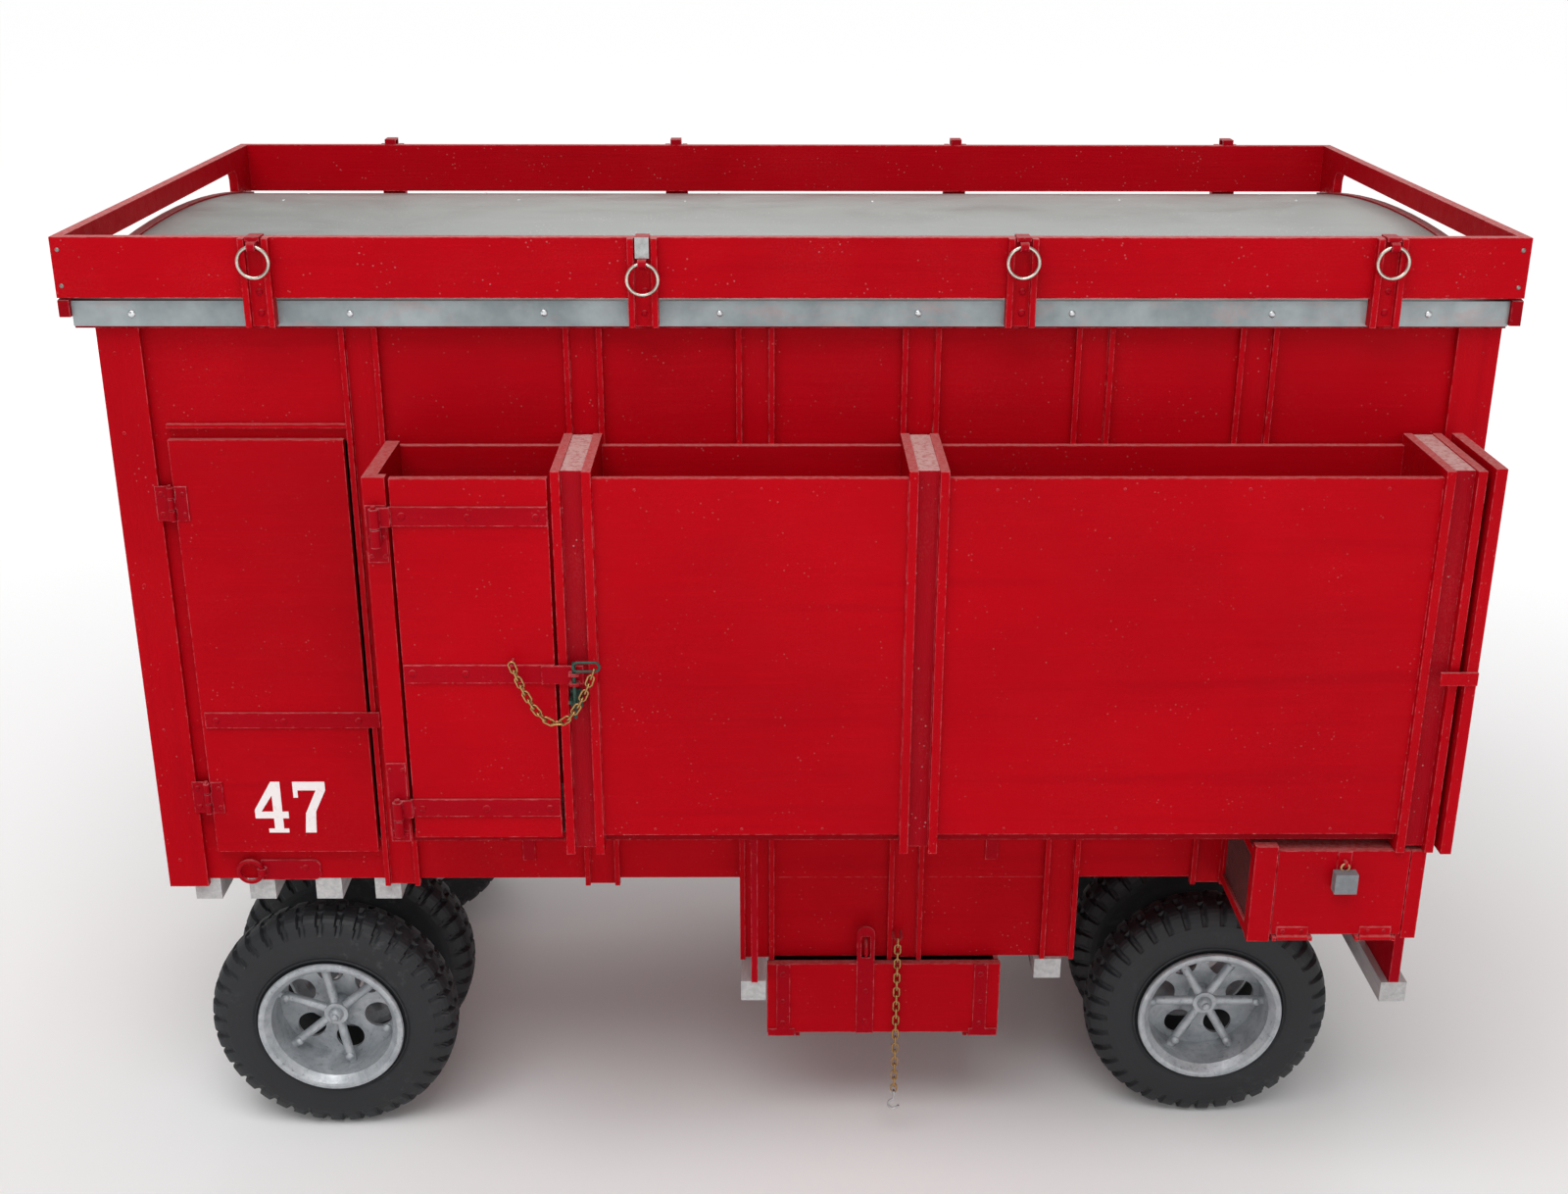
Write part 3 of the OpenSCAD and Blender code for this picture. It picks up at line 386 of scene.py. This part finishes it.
def rim_paint():
    """Silver paint, brushed on by hand and scuffed darker where it has worn."""
    s = Shader("rim_paint", metallic=0.35)
    blotch = s.noise(110, 4, 0.7, 0.6)
    tone = s.mix(s.ramp(blotch, 0.35, 0.66), (0.50, 0.525, 0.545), (0.33, 0.355, 0.38))
    scuff = s.math("MULTIPLY", s.ramp(s.noise(420, 4, 0.75, 0.4), 0.57, 0.66), 0.55)
    tone = s.mix(scuff, tone, (0.16, 0.17, 0.18))
    rough = s.ramp(blotch, 0.3, 0.7, 0.30, 0.48)
    return s.finish(tone, rough, s.bump(s.noise(700, 4, 0.65), 0.45, 0.0005))


def number_paint():
    s = Shader("number_paint")
    n = s.noise(420, 4, 0.7)
    tone = s.mix(s.ramp(n, 0.56, 0.72, 0, 0.5), (0.86, 0.80, 0.80), (0.72, 0.42, 0.44))
    return s.finish(tone, 0.5, s.bump(n, 0.2, 0.0003))


STEEL_HOOK = (24.0, False, (0.62, 0.62, 0.62))
BRASS_SHACKLE = (153.75, True, (0.60, 0.33, 0.16))
MAT = {}


def make_materials():
    MAT.update(
        panel=red_paint("red_panel", dusty=0.35, wear=0.85),
        wall=red_paint("red_wall", dusty=0.45, wear=0.4, gloss=0.46),
        post=red_paint("red_post", ALONG_Z, dusty=0.55, wear=0.7, coarse=0.3),
        tray=red_paint("red_tray", dusty=0.7, wear=1.0, gloss=0.45, coarse=0.25),
        frame=red_paint("red_frame", base=RED_DEEP, wear=0.7),
        core=red_paint("red_core", ALONG_Z, RED_CORE, dusty=1.6, wear=0.7, coarse=0.8),
        iron=red_paint("red_iron", base=RED_IRON, dusty=0.30, wear=1.0, gloss=0.36),
        # the parts under the body take a darker copy of the red paint: painted shade where they lie beneath
        # the body and rack
        under=red_paint("red_under_shaded", base=RED_DEEP, dusty=0.6),
        tin=tin_roof(),
        beams=grey_beams(),
        tyre=tyre_rubber(),
        rim=rim_paint(),
        number=number_paint(),
        nickel=plain_metal("nickel", (0.66, 0.60, 0.52), (0.24, 0.20, 0.17), roughness=0.26, metallic=1.0),
        bare=plain_metal("bare_tab", (0.45, 0.46, 0.46), (0.26, 0.27, 0.27), roughness=0.45, metallic=0.8),
        steel=plain_metal("dark_steel", (0.30, 0.27, 0.25), (0.13, 0.10, 0.09), roughness=0.42, metallic=0.9),
        nail=plain_metal("nail_heads", (0.72, 0.74, 0.75), (0.36, 0.37, 0.38), roughness=0.30, metallic=0.9),
        green=plain_metal("green_iron", (0.012, 0.045, 0.033), (0.05, 0.12, 0.09), roughness=0.42,
                          metallic=0.3, spots=0.4),
        brass=plain_metal("brass_chain", (0.50, 0.31, 0.12), (0.20, 0.12, 0.05), roughness=0.34,
                          metallic=1.0, scale=500, other=STEEL_HOOK),
        lock=plain_metal("padlock_metal", (0.22, 0.235, 0.25), (0.15, 0.16, 0.17), roughness=0.6,
                         metallic=0.3, other=BRASS_SHACKLE),
        mesh=plain_metal("mesh_wire", (0.16, 0.03, 0.03), (0.07, 0.03, 0.03), roughness=0.6, metallic=0.3),
        axle=plain_metal("steel_axle", (0.35, 0.35, 0.35), (0.2, 0.2, 0.2), roughness=0.4, metallic=0.9),
    )


# which nodes each material covers
PAINT = {
    "panel": ["rack_panels", "rack_door_panel", "side_door_panel", "toolbox_door", "hatch_panel",
              "toolbox_case"],
    "wall": ["near_wall", "far_wall", "end_walls", "belly_box", "rack_back", "rack_end"],
    "post": ["corner_posts", "wall_studs", "rack_post_plates", "wing_gate", "tray_brackets"],
    "tray": ["tray_sides", "tray_ends"],
    "frame": ["roof_frame"],
    "core": ["rack_post_cores"],
    "iron": ["ring_tabs", "door_hinge_irons", "wall_irons", "side_door_irons", "rack_door_straps",
             "hatch_straps", "beam_hangers", "rack_supports", "bull_ring"],
    # parts under the body: darker red that stands for the shade they lie in
    "under": ["floor_deck", "rack_floor", "ramp_case", "rear_bolster", "front_bolster", "turntable_plate"],
    "tin": ["roof_sheet"],
    "beams": ["cross_beams"],
    "green": ["latch_keeper", "latch_pin"],
    "brass": ["latch_chain", "drop_chain_upper", "drop_chain_lower"],
    "nickel": ["tie_ring_1", "tie_ring_2", "tie_ring_3", "tie_ring_4", "far_tie_rings"],
    "lock": ["padlock"],
    "axle": ["front_axle", "rear_axle"],
    "rim": ["front_near_rims", "front_far_rims", "rear_near_rims", "rear_far_rims"],
    "mesh": ["toolbox_grille"],
    "tyre": ["front_near_tyres", "front_far_tyres", "rear_near_tyres", "rear_far_tyres"],
}
# how far a material's edges are rounded, in millimetres
SOFT_EDGES = {"panel": 0.25, "wall": 0.2, "post": 0.25, "tray": 0.35, "frame": 0.3, "core": 0.3, "under": 0.3,
              "beams": 0.4, "lock": 0.4, "iron": 0.1}


def soften(obj, width):
    bevel = obj.modifiers.new("soft_edges", "BEVEL")
    bevel.width, bevel.segments = width * 0.001, 2
    bevel.limit_method, bevel.angle_limit = "ANGLE", math.radians(45)
    bevel.use_clamp_overlap, bevel.harden_normals = True, False


def dress_cad():
    for key, names in PAINT.items():
        for name in names:
            obj = NODES[name]
            obj.data.materials.clear()
            obj.data.materials.append(MAT[key])
            if key in SOFT_EDGES:
                soften(obj, SOFT_EDGES[key])


# ---------------------------------------------------------------- mesh helpers
NEAR = (0, -1, 0)
FAR = (0, 1, 0)
TOP = (0, 0, 1)
DOME_SEGMENTS = 14
DOME_RINGS = 4
DOME_SINK = 0.0003
NAIL_JITTER = 0.25


def add_mesh(name, bm, mat, body, smooth=True):
    mesh = bpy.data.meshes.new(name)
    bm.normal_update()
    bm.to_mesh(mesh)
    bm.free()
    if smooth:
        for poly in mesh.polygons:
            poly.use_smooth = True
    mesh.materials.append(mat)
    obj = bpy.data.objects.new(name, mesh)
    bpy.context.collection.objects.link(obj)
    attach(obj, body)
    return obj


def add_block(bm, lo, hi):
    """An axis-aligned box between two corners in trailer millimetres."""
    a, b = mm(*lo), mm(*hi)
    box = bmesh.ops.create_cube(bm, size=1.0)
    bmesh.ops.scale(bm, vec=b - a, verts=box["verts"])
    bmesh.ops.translate(bm, vec=(a + b) / 2, verts=box["verts"])


def add_dome(bm, at, normal, radius, height):
    """A nail's flat dome on a surface, slightly out of round so that no two look the same."""
    side = normal.orthogonal().normalized()
    other = normal.cross(side)
    squash = 1 + rng.uniform(-0.12, 0.12)
    turns = [2 * math.pi * j / DOME_SEGMENTS for j in range(DOME_SEGMENTS)]
    loops = []
    for k in range(DOME_RINGS):
        a = k / DOME_RINGS * math.pi / 2
        r = radius * math.cos(a)
        middle = at + normal * (height * math.sin(a))
        loops.append([bm.verts.new(middle + side * (r * squash * math.cos(t)) + other * (r * math.sin(t)))
                      for t in turns])
    base = [bm.verts.new(v.co - normal * DOME_SINK) for v in loops[0]]
    loops.insert(0, base)
    top = bm.verts.new(at + normal * height)
    for j in range(DOME_SEGMENTS):
        k = (j + 1) % DOME_SEGMENTS
        for low, high in zip(loops, loops[1:]):
            bm.faces.new((low[j], low[k], high[k], high[j]))
        bm.faces.new((loops[-1][j], loops[-1][k], top))
    bm.faces.new(list(reversed(base)))


def nails(name, spots, normal, radius, height, mat, body):
    """Domes at (x, y, z) trailer millimetres, each a little out of place."""
    bm = bmesh.new()
    normal = Vector(normal)
    for spot in spots:
        wobble = Vector([rng.uniform(-NAIL_JITTER, NAIL_JITTER) * (1 - abs(n)) for n in normal])
        at = mm(*(Vector(spot) + wobble))
        add_dome(bm, at, normal, radius * 0.001 * rng.uniform(0.9, 1.1), height * 0.001)
    return add_mesh(name, bm, mat, body)


def flat(y, points):
    """Spots at one depth from (x, z) points."""
    return [(x, y, z) for x, z in points]


def grid(xs, zs):
    """Every crossing of some x and z, one x after another."""
    return [(x, z) for x in xs for z in zs]


# ---------------------------------------------------------------- wheels
TYRE_W = 23.0
LUGS = 38
STEPS_PER_LUG = 12
LUG_DEPTH = 1.7
LUG_SLANT = 0.35
SLOT_SHARE = 0.26    # of a lug's pitch that is cut to full depth
LEDGE_SHARE = 0.34   # and to half depth
LUG_FOOT_R = 44
TREAD_R = 50

AXLE_X = (58.6, 429.2)
AXLE_Z = 51.5
RIM_Y = (2.0, 8.5)
DUAL_GAP = 46.0
SPOKES = 6
SPOKE_TURN = (-10, 30)
SPOKE_Y = 12.0
BOLT_RING_R = 22.3


def wheels():
    """Each dual wheel: its end's number and name, its side's name, 1 for near or -1 for far."""
    for i, end in enumerate(("front", "rear")):
        for side, mirror in (("near", 1), ("far", -1)):
            yield i, end, side, mirror


def tyre_profile():
    """(radius, y, lug share) from the outer bead over the tread to the inner bead, in millimetres.

    A share below 0 marks the far half, where the lugs stand half a pitch further on.
    """
    half = [(27.2, 3.0, 0), (29.0, 2.3, 0), (31.0, 1.4, 0), (31.6, 0.9, 0), (32.2, 1.2, 0), (33.0, 0.75, 0),
            (35.0, 0.35, 0), (38.0, 0.1, 0), (41.0, 0.15, 0), (43.2, 0.45, 0), (44.0, 0.7, 0.5),
            (45.5, 1.1, 1), (47.0, 1.8, 1), (48.6, 2.7, 1), (49.8, 3.8, 1), (50.6, 5.2, 1), (51.0, 6.6, 1),
            (51.2, 7.6, 0.9), (51.3, 8.0, 0.3), (51.35, 9.4, 0.3), (51.4, 9.8, 1), (51.5, 11.5, 1)]
    other = [(r, TYRE_W - y, -share) for r, y, share in reversed(half[:-1])]
    return half + other


def groove(turn, y, share):
    """Depth of the tread's slanted slots at a share of a turn and a place across the tread."""
    if share == 0:
        return 0.0
    phase = 0.0 if share > 0 else 0.5
    slant = LUG_SLANT * (y - TYRE_W / 2) / TYRE_W
    t = (turn * LUGS + phase + slant) % 1.0
    cut = 1.0 if t < SLOT_SHARE else (0.5 if t < LEDGE_SHARE else 0.0)
    return LUG_DEPTH * cut * min(1.0, abs(share))


def tyre_mesh(bm, centre, mirror):
    profile = tyre_profile()
    steps = LUGS * STEPS_PER_LUG
    start = rng.random()
    loops = []
    for i in range(steps):
        a = 2 * math.pi * i / steps
        loop = []
        for r, y, share in profile:
            depth = groove(i / steps + start / LUGS, y, share)
            up_the_lug = min(1, max(0, (r - LUG_FOOT_R) / (TREAD_R - LUG_FOOT_R)))
            rr = r - depth * (0.45 + 0.55 * up_the_lug)
            inward = depth * (0.35 if r < TREAD_R else 0.0)
            yy = mirror * (y + (inward if y < TYRE_W / 2 else -inward))
            loop.append(bm.verts.new(centre + Vector((rr * math.sin(a), yy, rr * math.cos(a))) * 0.001))
        loops.append(loop)
    count = len(profile)
    for i in range(steps):
        a, b = loops[i], loops[(i + 1) % steps]
        for j in range(count):
            k = (j + 1) % count
            bm.faces.new((a[j], b[j], b[k], a[k]) if mirror > 0 else (a[k], b[k], b[j], a[j]))


def add_tyres():
    for i, end, side, mirror in wheels():
        bm = bmesh.new()
        for k in (0, 1):
            y = RIM_Y[i] + k * DUAL_GAP
            tyre_mesh(bm, mm(AXLE_X[i], across(y, mirror), AXLE_Z), mirror)
        body = f"wheel_{end}_{side}"
        obj = add_mesh(f"{end}_{side}_tyre_pair", bm, MAT["tyre"], body, smooth=False)
        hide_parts(f"{end}_{side}_tyres")


def add_wheel_details():
    """Bolt heads at the spokes' ends and a hub cap bolt on each outer rim."""
    for i, end, side, mirror in wheels():
        bm = bmesh.new()
        out = Vector((0, -mirror, 0))
        y = across(RIM_Y[i] + SPOKE_Y - 1.8, mirror)
        for k in range(SPOKES):
            a = math.radians(SPOKE_TURN[i] + k * 360 / SPOKES)
            at = mm(AXLE_X[i] + BOLT_RING_R * math.sin(a), y, AXLE_Z + BOLT_RING_R * math.cos(a))
            add_dome(bm, at, out, 0.0019, 0.0012)
        y = across(RIM_Y[i] + SPOKE_Y - 5.6, mirror)
        add_dome(bm, mm(AXLE_X[i], y, AXLE_Z), out, 0.0017, 0.0010)
        add_mesh(f"{end}_{side}_wheel_bolts", bm, MAT["rim"], f"wheel_{end}_{side}")


# ---------------------------------------------------------------- nails
ROOF_RADIUS = 773.8
ROOF_RISE = 20
SIDE_LEAF_Z = [middle + z for middle in (160.5, 283.0) for z in (-4, 4)]
RACK_FACE = -46.0


def add_roof_nails():
    strip_x = [15, 93, 162, 225, 296, 351, 423, 479]
    strip = grid(strip_x, [BODY_TOP + 5.5])
    for name, mirror, normal in (("near", 1, NEAR), ("far", -1, FAR)):
        nails(f"strip_nails_{name}", flat(across(-4.0, mirror), strip), normal, 1.35, 0.7, MAT["nail"],
              "chassis")
    bracket = grid([62.4, 198.4, 332.4, 462.4], [356.4, 364.0])
    corner = grid([-7.6, BODY_L + 1.4], [365.5, 378.5])
    for name, mirror, normal in (("near", 1, NEAR), ("far", -1, FAR)):
        nails(f"bracket_nails_{name}", flat(across(-7.0, mirror), bracket), normal, 1.2, 0.7, MAT["iron"],
              "chassis")
        nails(f"tray_corner_nails_{name}", flat(across(-6.0, mirror), corner), normal, 0.8, 0.35,
              MAT["steel"], "chassis")
    centre_z = BODY_TOP + ROOF_RISE - ROOF_RADIUS
    spots = []
    for x in (30, 120, 210, 300, 390, 470):
        for y in (22, 70, 170, 218):
            x_off, y_off = rng.uniform(-12, 12), rng.uniform(-8, 8)
            z = centre_z + math.sqrt(ROOF_RADIUS ** 2 - (y + y_off - BODY_W / 2) ** 2) - 0.02
            spots.append((x + x_off, y + y_off, z))
    nails("roof_nails", spots, TOP, 0.75, 0.35, MAT["nail"], "chassis")


def iron_nails(name, y, points, radius, height, body):
    """Nail heads in the colour of the iron they hold, on the rack side."""
    nails(name, flat(y, points), NEAR, radius, height, MAT["iron"], body)


def add_iron_nails():
    iron_nails("side_strap_nails", -1.1, [(26.6, 194), (53.2, 193.8), (82.2, 194)], 1.3, 0.6, "side_door")
    iron_nails("side_leaf_nails", -0.9, grid([24.6], SIDE_LEAF_Z), 0.9, 0.5, "side_door")
    iron_nails("fixed_leaf_nails", -0.6, grid([16.2], SIDE_LEAF_Z), 0.9, 0.5, "chassis")
    plates = grid([103.7, 108.3], [171.0, 196.6, 279.2, 286.5])
    iron_nails("pintle_nails", -48.6, plates, 0.8, 0.45, "chassis")
    straps = [(x, z) for z in (180.8, 294.0) for x in (115, 138, 161.5)]
    straps += [(114.8, 234.9), (133.5, 234.6)]
    iron_nails("rack_strap_nails", -48.8, straps, 1.3, 0.6, "rack_door")
    hatch = grid([248.2, 329.7], [56.5, 67.0, 80.0]) + grid([282], [57.5, 72])
    iron_nails("hatch_nails", -3.6, hatch, 1.1, 0.55, "hatch")
    iron_nails("bull_plate_nail", 2.15, [(54.8, 127.6)], 1.3, 0.6, "chassis")
    leaves = grid([438.6, 445.6, 470.4, 477.2], [126.6])
    iron_nails("toolbox_leaf_nails", -46.6, leaves, 0.8, 0.45, "toolbox_door")


def add_pins():
    """Small pins under the paint, in the rack's panels and the corner posts."""
    pins = grid([200, 232, 262, 330, 372, 415, 452], [170.4])
    pins += grid([196, 240, 274, 322, 366, 410, 458], [303.0])
    nails("panel_pins", flat(RACK_FACE, pins), NEAR, 0.6, 0.2, MAT["panel"], "chassis")
    pins = grid([5.5, BODY_L - 5.5], [132, 190, 250, 310, 340])
    nails("post_pins", flat(0.0, pins), NEAR, 0.7, 0.25, MAT["post"], "chassis")


# ---------------------------------------------------------------- number, grille, bare tab
NUMBER = "47"
NUMBER_AT = (37.4, 144.7)
FIGURE_PITCH = 15.8
PAINT_FACE = -0.44
PAINT_BACK = -0.32
FIGURES = {
    "4": [
        [(7.6, 22.6), (11.2, 22.6), (11.2, 9.4), (7.6, 9.4), (7.6, 16.6), (2.9, 9.4), (0.3, 9.4),
         (0.3, 10.2)],
        [(0.3, 6.4), (13.6, 6.4), (13.6, 9.4), (0.3, 9.4)],
        [(7.6, 1.8), (11.2, 1.8), (11.2, 6.4), (7.6, 6.4)],
        [(5.2, 0), (13.2, 0), (13.2, 1.8), (5.2, 1.8)],
    ],
    "7": [
        [(0.4, 22.6), (13.2, 22.6), (13.2, 18.8), (0.4, 18.8)],
        [(0.4, 15.6), (2.2, 15.6), (2.2, 18.8), (0.4, 18.8)],
        [(9.4, 18.8), (13.2, 18.8), (8.8, 9.4), (8.2, 0), (3.9, 0), (4.7, 8.6)],
    ],
}


def add_slab(bm, outline, x, z):
    """A flat piece with an outline of (x, z) offsets, as thick as the number's paint."""
    front = [bm.verts.new(mm(x + u, PAINT_FACE, z + v)) for u, v in outline]
    back = [bm.verts.new(mm(x + u, PAINT_BACK, z + v)) for u, v in outline]
    bm.faces.new(front)
    for j in range(len(outline)):
        k = (j + 1) % len(outline)
        bm.faces.new((front[j], back[j], back[k], front[k]))
    bm.faces.new(list(reversed(back)))


def add_number():
    """A plain two-figure wagon number with slab feet, laid on the side door like thick paint."""
    bm = bmesh.new()
    x, z = NUMBER_AT
    for figure in NUMBER:
        for outline in FIGURES[figure]:
            add_slab(bm, outline, x, z)
        x += FIGURE_PITCH
    bmesh.ops.recalc_face_normals(bm, faces=bm.faces)
    add_mesh("wagon_number", bm, MAT["number"], "side_door", smooth=False)


GRILLE_Y = (-41.0, -4.0)
GRILLE_Z = (127.0, 156.0)
GRILLE_PITCH = 1.85
GRILLE_WIRE = 0.22


def wire_places(ends):
    """Even places between two ends, half a pitch in from the first."""
    count = round((ends[1] - ends[0]) / GRILLE_PITCH)
    return [ends[0] + GRILLE_PITCH * (i + 0.5) for i in range(count)]


def add_grille():
    """Crossed wires in the tool box's side: upright ones outside, level ones inside."""
    bm = bmesh.new()
    for y in wire_places(GRILLE_Y):
        add_block(bm, (426.0, y - GRILLE_WIRE, GRILLE_Z[0]), (426.4, y + GRILLE_WIRE, GRILLE_Z[1]))
    for z in wire_places(GRILLE_Z):
        add_block(bm, (426.3, GRILLE_Y[0], z - GRILLE_WIRE), (426.7, GRILLE_Y[1], z + GRILLE_WIRE))
    obj = add_mesh("toolbox_mesh", bm, MAT["mesh"], "chassis", smooth=False)
    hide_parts("toolbox_grille")


def add_tab_patch():
    """The second tab on the rack side has lost its paint."""
    bm = bmesh.new()
    add_block(bm, (195.55, -9.9, 376.3), (200.45, -9.86, 383.66))
    add_mesh("bare_tab_face", bm, MAT["bare"], "chassis", smooth=False)


add_camera()
add_lights()
add_floor()
make_materials()
dress_cad()
add_tyres()
add_wheel_details()
add_roof_nails()
add_iron_nails()
add_pins()
add_number()
add_grille()
add_tab_patch()
